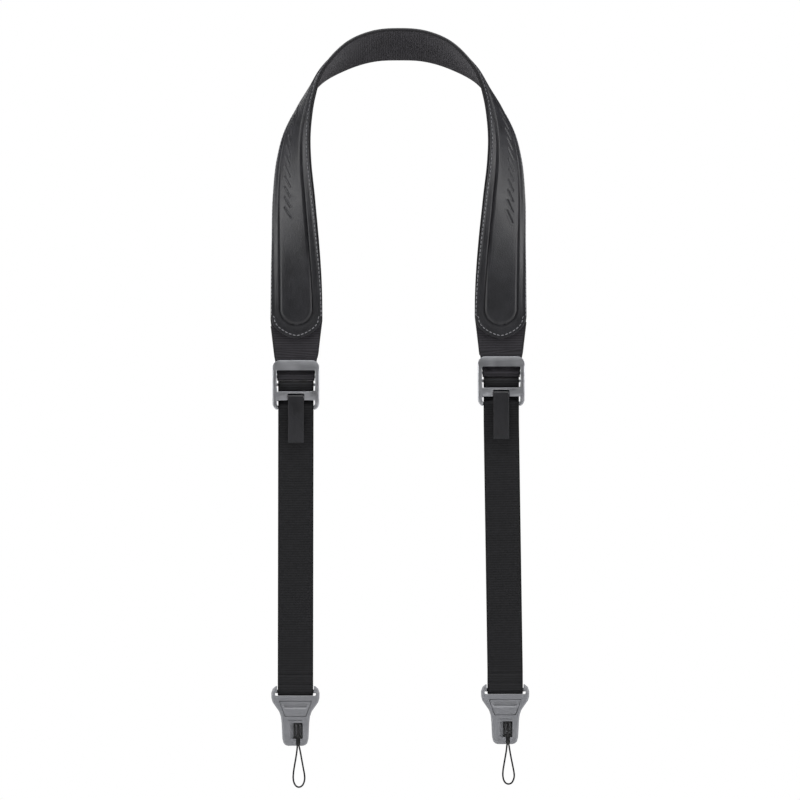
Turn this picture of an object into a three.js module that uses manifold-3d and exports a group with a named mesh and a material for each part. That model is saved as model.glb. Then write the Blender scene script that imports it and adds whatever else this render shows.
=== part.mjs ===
// Camera neck strap: a leather-faced shoulder band over webbing, two ladder buckles with pull tabs,
// two doubled lengths of narrow webbing, and two quick-release end fittings with thin cord loops.
// Millimetres, +Z up, the front towards -Y. The origin is the middle of the band's underside at the
// nape, where the strap rests on the neck.
import * as THREE from 'three';
import { mergeVertices } from 'three/addons/utils/BufferGeometryUtils.js';
import Module from 'manifold-3d';

const wasm = await Module();
wasm.setup();

// ---------------------------------------------------------------- driving dimensions
const GAP = 0.3; // clearance between touching pieces

// Shoulder band: the line down the middle of its underside, from the nape to the end of one arm.
// roll is the turn of the band about that line: 0 faces the front, 90 stands on edge, 180 faces back.
const BAND_ROWS = [
  { across: 0, forward: 0, down: 0, roll: 125 },
  { across: 17.5, forward: 0.9, down: 1.3, roll: 123 },
  { across: 35, forward: 4.4, down: 7.6, roll: 115.5 },
  { across: 52.4, forward: 11.6, down: 21, roll: 98 },
  { across: 63.2, forward: 19.3, down: 38.9, roll: 81 },
  { across: 70.4, forward: 26.7, down: 59.9, roll: 63.5 },
  { across: 73.2, forward: 31.8, down: 80.9, roll: 50.5 },
  { across: 73.4, forward: 36, down: 108.9, roll: 36 },
  { across: 72.5, forward: 39.4, down: 140, roll: 24 },
  { across: 71.9, forward: 41.6, down: 172, roll: 10 },
  { across: 72, forward: 42, down: 200, roll: 0 },
  { across: 72, forward: 42, down: 214, roll: 0 },
];
const BAND_HALF = 18.2;
const BAND_THICK = 1.4;
const RIGHT_ARM_IN = { by: 1, from: 60, to: 170 }; // the right arm hangs a little nearer the middle

// Where the band's end runs, measured down from the buckle's top: from its last row to behind the
// top rail, round the upper pin, and back up behind itself to its turned-back end.
const BAND_END = { first: -2.5, rail: 7.5, backLow: 4, backHigh: -3, flap: -24 };
const BAND_WRAP = { from: 161, to: 360, steps: 10 }; // degrees round the upper pin

// The band narrows towards the buckle. Distances are down from the buckle's top edge.
const BAND_TAPER = [
  { down: -28, half: BAND_HALF },
  { down: -14, half: 16.5 },
  { down: 0, half: 14.9 },
  { down: 7.5, half: 13.1 },
];

// Leather pad on the band's outside.
const PAD = {
  half: 17.5, // half width
  fromEnd: 8.1, // its tip, measured up from the last row of the band
  endLength: 14, // length of each rounded end
  endPower: 0.7, // 0.5 would make each end half an ellipse, and 1 is more pointed
  tipHalf: 1.2,
  tipSteps: [0.15, 0.7, 1.8, 3.6, 6.2, 9.8], // sections at each end, measured from the tip
  stations: 66,
  edge: 1.1, // thickness at the rim
  rim: 0.3, // how far the rim's corner is rounded down
  middle: 2.7, // thickness of the padded middle
  channelHalf: 11.3, // pressed line round the padded middle
  channelFromTip: 9.8,
  channelDepth: 0.5,
  channelSlope: 1.4,
  swell: { from: -5, to: 7 }, // the padding rises between these distances inside the line
};
const PAD_ACROSS = [-1, -0.96, -0.74, -0.65, -0.56, -0.25, 0.25, 0.56, 0.65, 0.74, 0.96, 1];

// Ladder buckle, sizes from its top edge down (v), across from its middle (u) and back from its
// front face (deep).
const BUCKLE = {
  frontY: -46.5,
  half: 16.35,
  height: 35.1,
  corner: 5,
  bevel: 0.5,
  plate: 2.8,
  cheekDepth: 5.2,
  cheekTop: 9.5,
  windowCorner: 0.9,
  windowHalf: 13.45,
  footHalf: 12.8, // half width of the opening below the lower window, for the webbing
  upperWindow: { top: 7, bottom: 21.9 },
  crossbarDepth: 2.2,
  lowerWindow: { top: 28, bottom: 31.2 },
  notch: { half: 5.75, top: 23.3 },
  railFace: 1.3, // how far the top rail's face leans back at its upper edge
};
const BAND_PIN = { down: 11.6, deep: 4, radius: 1 };
const STRAP_PIN = { down: 17.1, deep: 4, radius: 1 };
const BOTTOM_BAR = { down: 32.9, deep: 3.4, radius: 1.3 };
const TAB_PIN = { down: 25.9, deep: 0.75, radius: 0.7 };

// Pull tab: looped round its pin, hanging in front of the webbing.
const TAB = { half: 5.4, thick: 0.7, tongue: 1.5, end: 57.6, front: -1.25, neck: 4.2 };

// Narrow webbing: a loop from the buckle's lower pin to the end fitting's bar.
const STRAP = { half: 12.4, thick: 1.2, behindCrossbar: 3.5, front: 2.55, settle: 46, spread: 14 };
const STRAP_BACK = STRAP.front + STRAP.thick + GAP;
// Degrees of wrap round each bar, and the webbing's two places behind the crossbar.
const STRAP_WRAP = { pin: [0, 206], bottomBar: [152.7, 186], fittingBar: [174, 366] };
const BEHIND_CROSSBAR = [22.4, 27.7];

// End fitting, sizes down from the tops of its ears.
const FITTING = {
  middle: 3.3, // its middle plane, back from the buckle's front face
  thick: 6.5,
  bevel: 1.1,
  slotHalf: 14.35,
  earInner: 12.9,
  slotBottom: 6.9,
  bar: { down: 3.8, radius: 1.3 },
  length: 41.9,
};
// The fitting's outline on one side, from the ear round to the foot.
const FITTING_SIDE = [
  { half: 13.6, down: 0 },
  { half: 15.9, down: 1.9 },
  { half: 16.9, down: 5 },
  { half: 16.8, down: 8.6 },
  { half: 15.9, down: 11.5 },
  { half: 13.6, down: 14.8 },
  { half: 11.4, down: 17.9 },
  { half: 10.2, down: 21.4 },
  { half: 9.65, down: 26 },
  { half: 9.4, down: 32 },
  { half: 9.1, down: 37 },
  { half: 8.3, down: 40 },
  { half: 6.9, down: 41.4 },
  { half: 5.2, down: 41.9 },
];
// Release button: a trapezoid that is pressed into its pocket.
const BUTTON = {
  top: 10.9,
  bottom: 21.3,
  topHalf: 11.2,
  bottomHalf: 7.1,
  corner: 0.7,
  bevel: 0.2,
  thick: 1.9,
  travel: 0.8,
};
const BUTTON_POCKET = BUTTON.thick + BUTTON.travel + GAP;
// A shallow line moulded above the window.
const LEDGE = { half: 4.8, top: 24.1, bottom: 24.6, depth: 0.35 };
// Window in the fitting's face, and the moulded anchor in it that holds the cord.
const WINDOW = { left: -3.6, right: 5.1, top: 25.9, bottom: 37, depth: 1.2 };
const ANCHOR = {
  left: -1,
  right: WINDOW.right - GAP,
  front: 0.7,
  back: 2.5,
  wall: 1.05,
  post: 0.75, // half width of the middle post
  neckHalf: 1.15,
  neckEnd: 41.6,
};
ANCHOR.middle = (ANCHOR.left + ANCHOR.right) / 2;

const CORD = { diameter: 1.2, sides: 8, steps: 44, deep: (ANCHOR.front + ANCHOR.back) / 2 };

// The two legs are set a little differently, as webbing that was pulled through by hand is.
const LEGS = [
  { name: 'left', side: -1, buckleAcross: 72.4, buckleTop: 221.1, fittingAcross: 72.7, fittingTop: 449.1 },
  { name: 'right', side: 1, buckleAcross: 71.4, buckleTop: 218.4, fittingAcross: 74.1, fittingTop: 447.9 },
];

// Each cord loop's route: across from the fitting's middle, and down from the tops of its ears.
const CORD_ROUTE = {
  left: [
    [1.3, 42.2], [0.95, 46], [0.1, 51.5], [-0.85, 57], [-1.45, 61.6], [-1.5, 65.2], [-0.75, 68.2],
    [0.7, 70.2], [2.4, 70.8], [4.3, 70.1], [5.8, 67.9], [6.45, 65], [6.3, 62], [5.4, 57],
    [4.4, 51.5], [3.4, 46], [2.6, 42.2],
  ],
  right: [
    [1.3, 42.2], [0.9, 46], [0, 51.5], [-0.95, 57], [-1.55, 61.4], [-1.5, 64.8], [-0.7, 67.6],
    [0.7, 69.3], [2.4, 69.8], [4.2, 69.2], [5.6, 67.3], [6.35, 64.4], [6.1, 61.2], [5.2, 56.5],
    [4.2, 51.5], [3.2, 46], [2.6, 42.2],
  ],
};

// ---------------------------------------------------------------- finishes
const finish = (color, roughness, metalness = 0) =>
  new THREE.MeshStandardMaterial({ color, roughness, metalness });
const leather = finish(0x35353a, 0.55);
const webbing = finish(0x242427, 0.85);
const aluminium = finish(0x8b8c90, 0.45, 0.7);
const moulded = finish(0x77787c, 0.5, 0.2);
const blackPlastic = finish(0x141416, 0.5);
const cordBlack = finish(0x121213, 0.8);

const strap = new THREE.Group();
function addPiece(name, geometry, material) {
  const mesh = new THREE.Mesh(geometry, material);
  mesh.name = name;
  strap.add(mesh);
}

// ---------------------------------------------------------------- solids from sections
// Value of a table's column at a place along it, on straight lines between the rows.
function fromTable(rows, place, along, column) {
  if (place <= rows[0][along]) return rows[0][column];
  for (let i = 1; i < rows.length; i++) {
    const [before, after] = [rows[i - 1], rows[i]];
    if (place <= after[along]) {
      const share = (place - before[along]) / (after[along] - before[along]);
      return THREE.MathUtils.lerp(before[column], after[column], share);
    }
  }
  return rows[rows.length - 1][column];
}

// A closed solid through rings of points, one ring for each section. offsets are a ring's places
// across its section: they keep the diagonals of two facing surfaces the same way round. closed
// joins the last ring to the first; otherwise both ends are capped.
function loft(rings, offsets, closed = false) {
  const count = offsets.length;
  const index = [];
  const spans = closed ? rings.length : rings.length - 1;
  for (let i = 0; i < spans; i++) {
    const [a, b] = [i * count, ((i + 1) % rings.length) * count];
    for (let j = 0; j < count; j++) {
      const k = (j + 1) % count;
      if (offsets[k] < offsets[j]) index.push(a + j, a + k, b + j, a + k, b + k, b + j);
      else index.push(a + j, a + k, b + k, a + j, b + k, b + j);
    }
  }
  if (!closed) {
    const last = (rings.length - 1) * count;
    for (let j = 1; j < count - 1; j++) {
      index.push(0, j + 1, j);
      index.push(last, last + j, last + j + 1);
    }
  }
  const geometry = new THREE.BufferGeometry();
  const positions = rings.flat().flatMap((p) => [p.x, p.y, p.z]);
  geometry.setAttribute('position', new THREE.Float32BufferAttribute(positions, 3));
  geometry.setIndex(index);
  return geometry;
}

// A ring of points round a section {mid, across, out}, at places [along across, along out].
function ring(section, places) {
  return places.map(([w, h]) =>
    section.mid.clone().addScaledVector(section.across, w).addScaledVector(section.out, h));
}

// A flat strap through sections, each with its own half width.
const STRAP_ACROSS = [-1, -0.5, 0, 0.5, 1];
function flatStrap(sections, thick, closed = false) {
  const sides = [...STRAP_ACROSS.map((a) => [a, -1]), ...[...STRAP_ACROSS].reverse().map((a) => [a, 1])];
  const rings = sections.map((section) =>
    ring(section, sides.map(([a, up]) => [a * section.half, (up * thick) / 2])));
  return loft(rings, sides.map(([a]) => a), closed);
}

// ---------------------------------------------------------------- the band's line and its frames
function rowPoint(row, side) {
  const { by, from, to } = RIGHT_ARM_IN;
  const inward = side > 0 ? by * THREE.MathUtils.smoothstep(row.down, from, to) : 0;
  return new THREE.Vector3(side * row.across - inward, -row.forward, -row.down);
}

const bandRows = [...BAND_ROWS.slice(1).reverse(), ...BAND_ROWS];
const bandLine = new THREE.CatmullRomCurve3(
  bandRows.map((row, i) => rowPoint(row, i < BAND_ROWS.length ? -1 : 1)), false, 'centripetal');
bandLine.arcLengthDivisions = 600;
const BAND_LENGTH = bandLine.getLength();

function rollAt(t) {
  const place = t * (bandRows.length - 1);
  const i = Math.min(Math.floor(place), bandRows.length - 2);
  const at = (k) => bandRows[THREE.MathUtils.clamp(k, 0, bandRows.length - 1)].roll;
  const [p0, p1, p2, p3] = [at(i - 1), at(i), at(i + 1), at(i + 2)];
  const s = place - i;
  return 0.5 * (2 * p1 + (p2 - p0) * s + (2 * p0 - 5 * p1 + 4 * p2 - p3) * s * s
    + (3 * p1 - p0 - 3 * p2 + p3) * s * s * s);
}

// The band's frame at a length along it: mid on its underside, across towards its outer edge, out
// away from the neck.
function bandFrame(length) {
  const t = bandLine.getUtoTmapping(length / BAND_LENGTH);
  const along = bandLine.getTangent(t);
  const roll = THREE.MathUtils.degToRad(rollAt(t));
  const outward = new THREE.Vector3(-along.z, 0, along.x).normalize();
  const backward = new THREE.Vector3().crossVectors(outward, along);
  const across = outward.clone().multiplyScalar(Math.cos(roll)).addScaledVector(backward, Math.sin(roll));
  return { mid: bandLine.getPoint(t), across, out: new THREE.Vector3().crossVectors(along, across) };
}

// ---------------------------------------------------------------- straps round pins, in side view
// Points round a pin: 0 degrees is behind it, 90 above, 180 in front and 270 below.
function round(pin, radius, from, to, steps) {
  return Array.from({ length: steps + 1 }, (_, i) => {
    const a = THREE.MathUtils.degToRad(from + ((to - from) * i) / steps);
    return { down: pin.down - radius * Math.sin(a), deep: pin.deep + radius * Math.cos(a) };
  });
}

// Sections of a flat strap whose side view is a list of {down, deep} points.
function sideSections(points, placeOf, side, closed) {
  const places = points.map(placeOf);
  return places.map((mid, i) => {
    const before = places[closed ? (i + places.length - 1) % places.length : Math.max(i - 1, 0)];
    const after = places[closed ? (i + 1) % places.length : Math.min(i + 1, places.length - 1)];
    const toHere = mid.clone().sub(before).normalize();
    const onward = after.clone().sub(mid).normalize();
    const along = toHere.add(onward).normalize();
    const across = new THREE.Vector3(side, 0, 0);
    across.addScaledVector(along, -across.dot(along)).normalize();
    return { mid, across, out: new THREE.Vector3().crossVectors(along, across) };
  });
}

// ---------------------------------------------------------------- shoulder webbing
// One arm's end: behind the buckle's top rail, round the upper pin and back up behind itself.
function armEnd(leg) {
  const plane = BUCKLE.plate + GAP + BAND_THICK / 2;
  const turned = plane + BAND_THICK + GAP;
  const radius = BAND_PIN.radius + GAP + BAND_THICK / 2;
  const points = [
    { down: BAND_END.first, deep: plane },
    { down: BAND_END.rail, deep: plane },
    ...round(BAND_PIN, radius, BAND_WRAP.from, BAND_WRAP.to, BAND_WRAP.steps),
    { down: BAND_END.backLow, deep: turned + 0.2 },
    { down: BAND_END.backHigh, deep: turned },
    { down: BAND_END.flap, deep: turned },
  ];
  const placeOf = ({ down, deep }) =>
    new THREE.Vector3(leg.side * leg.buckleAcross, BUCKLE.frontY + deep, -leg.buckleTop - down);
  return sideSections(points, placeOf, leg.side, false).map((section, i) =>
    ({ ...section, half: fromTable(BAND_TAPER, points[i].down, 'down', 'half') }));
}

// Lengths along the band where it and its pad both have a section, closer at the pad's two ends.
const padStart = PAD.fromEnd;
const padEnd = BAND_LENGTH - PAD.fromEnd;
const padLengths = [
  ...PAD.tipSteps.map((step) => padStart + step),
  ...Array.from({ length: PAD.stations + 1 }, (_, i) => THREE.MathUtils.lerp(
    padStart + PAD.endLength, padEnd - PAD.endLength, i / PAD.stations)),
  ...[...PAD.tipSteps].reverse().map((step) => padEnd - step),
];

function shoulderWebbing() {
  const middle = [0, ...padLengths, BAND_LENGTH].map((length) => {
    const section = bandFrame(length);
    const leg = section.mid.x < 0 ? LEGS[0] : LEGS[1];
    const half = fromTable(BAND_TAPER, -section.mid.z - leg.buckleTop, 'down', 'half');
    section.mid.addScaledVector(section.out, BAND_THICK / 2);
    return { ...section, half };
  });
  // The left end is laid out downwards and joined upwards, which turns its outward side round.
  const left = armEnd(LEGS[0]).reverse();
  for (const section of left) section.out.negate();
  return flatStrap([...left, ...middle, ...armEnd(LEGS[1])], BAND_THICK);
}

// ---------------------------------------------------------------- leather pad
// Half width of the pad at a distance from its tip.
function padHalf(fromTip) {
  const share = Math.min(fromTip / PAD.endLength, 1);
  return Math.max(PAD.half * (1 - (1 - share) ** 2) ** PAD.endPower, PAD.tipHalf);
}

// Thickness of the pad, w across from its middle and fromTip from its nearer end: a thin rim, a
// pressed channel line, and a padded middle inside it.
function padThickness(w, fromTip) {
  const beyond = Math.max(PAD.channelFromTip + PAD.channelHalf - fromTip, 0);
  const inside = PAD.channelHalf - Math.hypot(w, beyond);
  const swell = THREE.MathUtils.smoothstep(inside, PAD.swell.from, PAD.swell.to);
  const line = Math.max(0, 1 - Math.abs(inside) / PAD.channelSlope);
  return PAD.edge + (PAD.middle - PAD.edge) * swell - PAD.channelDepth * line;
}

function shoulderPad() {
  const base = BAND_THICK + GAP;
  const topAcross = [...PAD_ACROSS].reverse();
  const rings = padLengths.map((length) => {
    const fromTip = Math.min(length - padStart, padEnd - length);
    const half = padHalf(fromTip);
    const under = STRAP_ACROSS.map((a) => [a * half, base]);
    const top = topAcross.map((a) => {
      const rim = Math.abs(a) === 1 ? PAD.rim : 0;
      return [a * half, base + padThickness(a * half, fromTip) - rim];
    });
    return ring(bandFrame(length), [...under, ...top]);
  });
  return loft(rings, [...STRAP_ACROSS, ...topAcross]);
}

// ---------------------------------------------------------------- booleans
// A geometry as a manifold, with its shared vertices merged.
function solid(geometry) {
  const bare = geometry.clone();
  bare.deleteAttribute('normal');
  bare.deleteAttribute('uv');
  const merged = mergeVertices(bare, 1e-4);
  return new wasm.Manifold(new wasm.Mesh({
    numProp: 3,
    vertProperties: new Float32Array(merged.attributes.position.array),
    triVerts: new Uint32Array(merged.index.array),
  }));
}

function geometryOf(manifold) {
  const mesh = manifold.getMesh();
  const geometry = new THREE.BufferGeometry();
  geometry.setAttribute('position', new THREE.BufferAttribute(mesh.vertProperties, 3));
  geometry.setIndex(new THREE.BufferAttribute(mesh.triVerts, 1));
  return geometry;
}

// A rectangle with round corners, as a shape in across and down.
function roundedRectangle(left, right, top, bottom, radius) {
  const shape = new THREE.Shape();
  const [y0, y1] = [-bottom, -top];
  shape.moveTo(left + radius, y0);
  shape.lineTo(right - radius, y0);
  shape.absarc(right - radius, y0 + radius, radius, -Math.PI / 2, 0);
  shape.lineTo(right, y1 - radius);
  shape.absarc(right - radius, y1 - radius, radius, 0, Math.PI / 2);
  shape.lineTo(left + radius, y1);
  shape.absarc(left + radius, y1 - radius, radius, Math.PI / 2, Math.PI);
  shape.lineTo(left, y0 + radius);
  shape.absarc(left + radius, y0 + radius, radius, Math.PI, (3 * Math.PI) / 2);
  return shape;
}

// A shape drawn across and up becomes a plate between two depths: x stays, y becomes up.
function standing(shape, from, to, bevel = 0) {
  const geometry = new THREE.ExtrudeGeometry(shape, {
    depth: to - from - 2 * bevel, bevelEnabled: bevel > 0, bevelThickness: bevel, bevelSize: bevel,
    bevelOffset: -bevel, bevelSegments: 1, curveSegments: 3,
  });
  geometry.translate(0, 0, bevel - to);
  return geometry.rotateX(Math.PI / 2);
}

// A block with round corners between two depths.
const block = (left, right, top, bottom, from, to, radius = 0.4, bevel = 0) =>
  standing(roundedRectangle(left, right, top, bottom, radius), from, to, bevel);

// A side view drawn as depth and up becomes a solid across, from -half to half.
function acrossSolid(sideView, half) {
  const geometry = new THREE.ExtrudeGeometry(
    sideView, { depth: 2 * half, bevelEnabled: false, curveSegments: 8 });
  geometry.translate(0, 0, -half);
  return geometry.applyMatrix4(new THREE.Matrix4().set(0, 0, 1, 0, 1, 0, 0, 0, 0, 1, 0, 0, 0, 0, 0, 1));
}

// A round bar lying across, from -half to half.
function bar(half, pin, sides = 12) {
  const geometry = new THREE.CylinderGeometry(pin.radius, pin.radius, 2 * half, sides);
  return geometry.rotateZ(Math.PI / 2).translate(0, pin.deep, -pin.down);
}

// ---------------------------------------------------------------- buckle frame and pull tab
function buckleFrame() {
  const b = BUCKLE;
  const { upperWindow: upper, lowerWindow: lower, notch } = b;
  const through = [-1, b.cheekDepth + 1];
  let frame = solid(block(-b.half, b.half, 0, b.height, 0, b.cheekDepth, b.corner, b.bevel));
  const cuts = [
    block(-b.half - 1, b.half + 1, -1, b.cheekTop, b.plate, through[1]),
    block(-b.windowHalf, b.windowHalf, -1, b.height + 1, b.plate, through[1]),
    block(-b.windowHalf, b.windowHalf, upper.top, upper.bottom, ...through, b.windowCorner),
    block(-b.windowHalf, b.windowHalf, lower.top, lower.bottom, ...through, b.windowCorner),
    block(-b.footHalf, b.footHalf, lower.top + 1, b.height + 2, ...through),
    block(-notch.half, notch.half, notch.top, lower.top + 1, ...through),
    block(-b.windowHalf, b.windowHalf, upper.bottom - 1, lower.top + 1, b.crossbarDepth, through[1]),
    railWedge(),
  ];
  for (const cut of cuts) frame = frame.subtract(solid(cut));
  const bars = [
    bar(b.windowHalf + 1, BAND_PIN),
    bar(b.windowHalf + 1, STRAP_PIN),
    bar(b.windowHalf + 1, BOTTOM_BAR),
    bar(notch.half + 0.6, TAB_PIN),
  ];
  for (const pin of bars) frame = frame.add(solid(pin));
  return geometryOf(frame);
}

// The wedge that is milled off the top rail's face, so that it leans back.
function railWedge() {
  const { upperWindow, railFace, half } = BUCKLE;
  const wedge = new THREE.Shape();
  wedge.moveTo(-1, 1);
  wedge.lineTo(-1, -upperWindow.top);
  wedge.lineTo(0, -upperWindow.top);
  wedge.lineTo(railFace * (1 + 1 / upperWindow.top), 1);
  wedge.closePath();
  return acrossSolid(wedge, half + 1);
}

function pullTab() {
  const outer = TAB_PIN.radius + GAP + TAB.thick;
  const sideView = new THREE.Shape();
  sideView.moveTo(TAB.front, -TAB.end);
  sideView.lineTo(TAB.front, -TAB_PIN.down - TAB.neck);
  sideView.absarc(TAB_PIN.deep, -TAB_PIN.down, outer, 1.03 * Math.PI, -0.22 * Math.PI, true);
  sideView.lineTo(TAB.front + TAB.tongue, -TAB_PIN.down - TAB.neck);
  sideView.lineTo(TAB.front + TAB.tongue, -TAB.end);
  sideView.closePath();
  const eye = new THREE.Path();
  eye.absarc(TAB_PIN.deep, -TAB_PIN.down, TAB_PIN.radius + GAP, 0, 2 * Math.PI);
  sideView.holes.push(eye);
  return acrossSolid(sideView, TAB.half);
}

// ---------------------------------------------------------------- narrow webbing
// One closed loop: over the buckle's lower pin, behind the crossbar, out over the bottom bar, down
// to the end fitting's bar, round it, and back up behind.
function narrowWebbing(leg) {
  const pinRadius = STRAP_PIN.radius + GAP + STRAP.thick / 2;
  const barRadius = BOTTOM_BAR.radius + GAP + STRAP.thick / 2;
  const fittingBar = {
    down: leg.fittingTop - leg.buckleTop + FITTING.bar.down,
    deep: FITTING.middle,
    radius: FITTING.bar.radius,
  };
  const footRadius = fittingBar.radius + GAP + STRAP.thick / 2;
  const foot = fittingBar.down - STRAP.spread;
  const points = [
    ...round(STRAP_PIN, pinRadius, ...STRAP_WRAP.pin, 9),
    ...BEHIND_CROSSBAR.map((down) => ({ down, deep: STRAP.behindCrossbar })),
    ...round(BOTTOM_BAR, barRadius, ...STRAP_WRAP.bottomBar, 3),
    { down: STRAP.settle, deep: STRAP.front },
    { down: (STRAP.settle + foot) / 2, deep: STRAP.front },
    { down: foot, deep: STRAP.front },
    ...round(fittingBar, footRadius, ...STRAP_WRAP.fittingBar, 9),
    { down: foot, deep: STRAP_BACK },
    { down: (STRAP.settle + foot) / 2, deep: STRAP_BACK },
    { down: STRAP.settle, deep: STRAP_BACK },
    { down: BOTTOM_BAR.down + 1.2, deep: BOTTOM_BAR.deep + barRadius + 0.05 },
  ];
  const placeOf = ({ down, deep }) => {
    const share = THREE.MathUtils.smoothstep(down, BOTTOM_BAR.down, fittingBar.down);
    const across = THREE.MathUtils.lerp(leg.buckleAcross, leg.fittingAcross, share);
    return new THREE.Vector3(leg.side * across, BUCKLE.frontY + deep, -leg.buckleTop - down);
  };
  const sections = sideSections(points, placeOf, leg.side, true);
  return flatStrap(sections.map((section) => ({ ...section, half: STRAP.half })), STRAP.thick, true);
}

// ---------------------------------------------------------------- end fitting
// A trapezoid with small round corners, grown by a margin all round.
function trapezoid(margin = 0) {
  const [top, bottom] = [-BUTTON.top + margin, -BUTTON.bottom - margin];
  const [wide, narrow] = [BUTTON.topHalf + 1.25 * margin, BUTTON.bottomHalf + 1.25 * margin];
  const corners = [[-narrow, bottom], [narrow, bottom], [wide, top], [-wide, top]];
  const shape = new THREE.Shape();
  corners.forEach(([x, y], i) => {
    const [nextX, nextY] = corners[(i + 1) % 4];
    const [lastX, lastY] = corners[(i + 3) % 4];
    const towards = (px, py) => {
      const share = BUTTON.corner / Math.hypot(px - x, py - y);
      return [x + (px - x) * share, y + (py - y) * share];
    };
    const [enterX, enterY] = towards(lastX, lastY);
    if (i === 0) shape.moveTo(enterX, enterY);
    else shape.lineTo(enterX, enterY);
    shape.quadraticCurveTo(x, y, ...towards(nextX, nextY));
  });
  shape.closePath();
  return shape;
}

function fittingBody() {
  const f = FITTING;
  const outline = new THREE.Shape();
  const right = FITTING_SIDE.map(({ half, down }) => new THREE.Vector2(half, -down));
  const left = [...right].reverse().map((p) => new THREE.Vector2(-p.x, p.y));
  outline.setFromPoints([...right, ...left]);
  let body = solid(standing(outline, 0, f.thick, f.bevel));
  const through = [-1, f.thick + 1];
  const pocket = ANCHOR.left - GAP;
  const cuts = [
    block(-f.earInner, f.earInner, -2, f.slotBottom - 1, ...through),
    block(-f.slotHalf, f.slotHalf, f.bar.down + 0.8, f.slotBottom, ...through, 1),
    standing(trapezoid(GAP), -1, BUTTON_POCKET),
    block(-LEDGE.half, LEDGE.half, LEDGE.top, LEDGE.bottom, -1, LEDGE.depth, 0.1),
    block(WINDOW.left, WINDOW.right, WINDOW.top, WINDOW.bottom, -1, WINDOW.depth, 0.5),
    block(pocket, WINDOW.right, WINDOW.top, WINDOW.bottom, -1, ANCHOR.back + GAP, 0.5),
    block(ANCHOR.middle - ANCHOR.neckHalf - GAP, ANCHOR.middle + ANCHOR.neckHalf + GAP,
      WINDOW.bottom - 1, f.length + 2, -1, ANCHOR.back + GAP, 0.3),
  ];
  for (const cut of cuts) body = body.subtract(solid(cut));
  body = body.add(solid(bar(f.earInner + 1, { ...f.bar, deep: f.thick / 2 })));
  return geometryOf(body);
}

// The moulded anchor that holds the cord: a frame with a middle post, and a neck over the foot.
function cordAnchor() {
  const { left, right, wall, post, middle, neckHalf, front, back } = ANCHOR;
  const [top, bottom] = [WINDOW.top + GAP, WINDOW.bottom - GAP];
  const outline = new THREE.Shape();
  outline.moveTo(left, -top);
  outline.lineTo(left, -bottom);
  outline.lineTo(middle - neckHalf, -bottom);
  outline.lineTo(middle - neckHalf, -ANCHOR.neckEnd);
  outline.lineTo(middle + neckHalf, -ANCHOR.neckEnd);
  outline.lineTo(middle + neckHalf, -bottom);
  outline.lineTo(right, -bottom);
  outline.lineTo(right, -top);
  outline.closePath();
  outline.holes.push(
    roundedRectangle(left + wall, middle - post, top + wall, bottom - wall, 0.3),
    roundedRectangle(middle + post, right - wall, top + wall, bottom - wall, 0.3));
  return standing(outline, front, back);
}

// ---------------------------------------------------------------- cord loop
function cordLoop(route) {
  const line = new THREE.CatmullRomCurve3(
    route.map(([across, down]) => new THREE.Vector3(across, CORD.deep, -down)), false, 'centripetal');
  const section = new THREE.Shape();
  for (let i = 0; i < CORD.sides; i++) {
    const a = (2 * Math.PI * i) / CORD.sides;
    const [x, y] = [(CORD.diameter / 2) * Math.cos(a), (CORD.diameter / 2) * Math.sin(a)];
    if (i === 0) section.moveTo(x, y);
    else section.lineTo(x, y);
  }
  section.closePath();
  return new THREE.ExtrudeGeometry(section, { steps: CORD.steps, extrudePath: line, bevelEnabled: false });
}

// ---------------------------------------------------------------- the assembly
addPiece('shoulder_webbing', shoulderWebbing(), webbing);
addPiece('shoulder_pad', shoulderPad(), leather);
for (const leg of LEGS) {
  const atBuckle = [leg.side * leg.buckleAcross, BUCKLE.frontY, -leg.buckleTop];
  const atFitting = [
    leg.side * leg.fittingAcross, BUCKLE.frontY + FITTING.middle - FITTING.thick / 2, -leg.fittingTop];
  addPiece(`buckle_frame_${leg.name}`, buckleFrame().translate(...atBuckle), aluminium);
  addPiece(`pull_tab_${leg.name}`, pullTab().translate(...atBuckle), leather);
  addPiece(`narrow_webbing_${leg.name}`, narrowWebbing(leg), webbing);
  addPiece(`end_fitting_${leg.name}`, fittingBody().translate(...atFitting), moulded);
  const button = standing(trapezoid(), 0, BUTTON.thick, BUTTON.bevel);
  addPiece(`release_button_${leg.name}`, button.translate(...atFitting), moulded);
  addPiece(`cord_anchor_${leg.name}`, cordAnchor().translate(...atFitting), blackPlastic);
  addPiece(`cord_loop_${leg.name}`, cordLoop(CORD_ROUTE[leg.name]).translate(...atFitting), cordBlack);
}

export default strap;
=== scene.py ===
# Camera neck strap: a leather-faced shoulder band on ribbed webbing, two ladder buckles with leather
# pull tabs, two doubled legs of narrow webbing, and two press-button end fittings with cord loops.
import math

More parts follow.
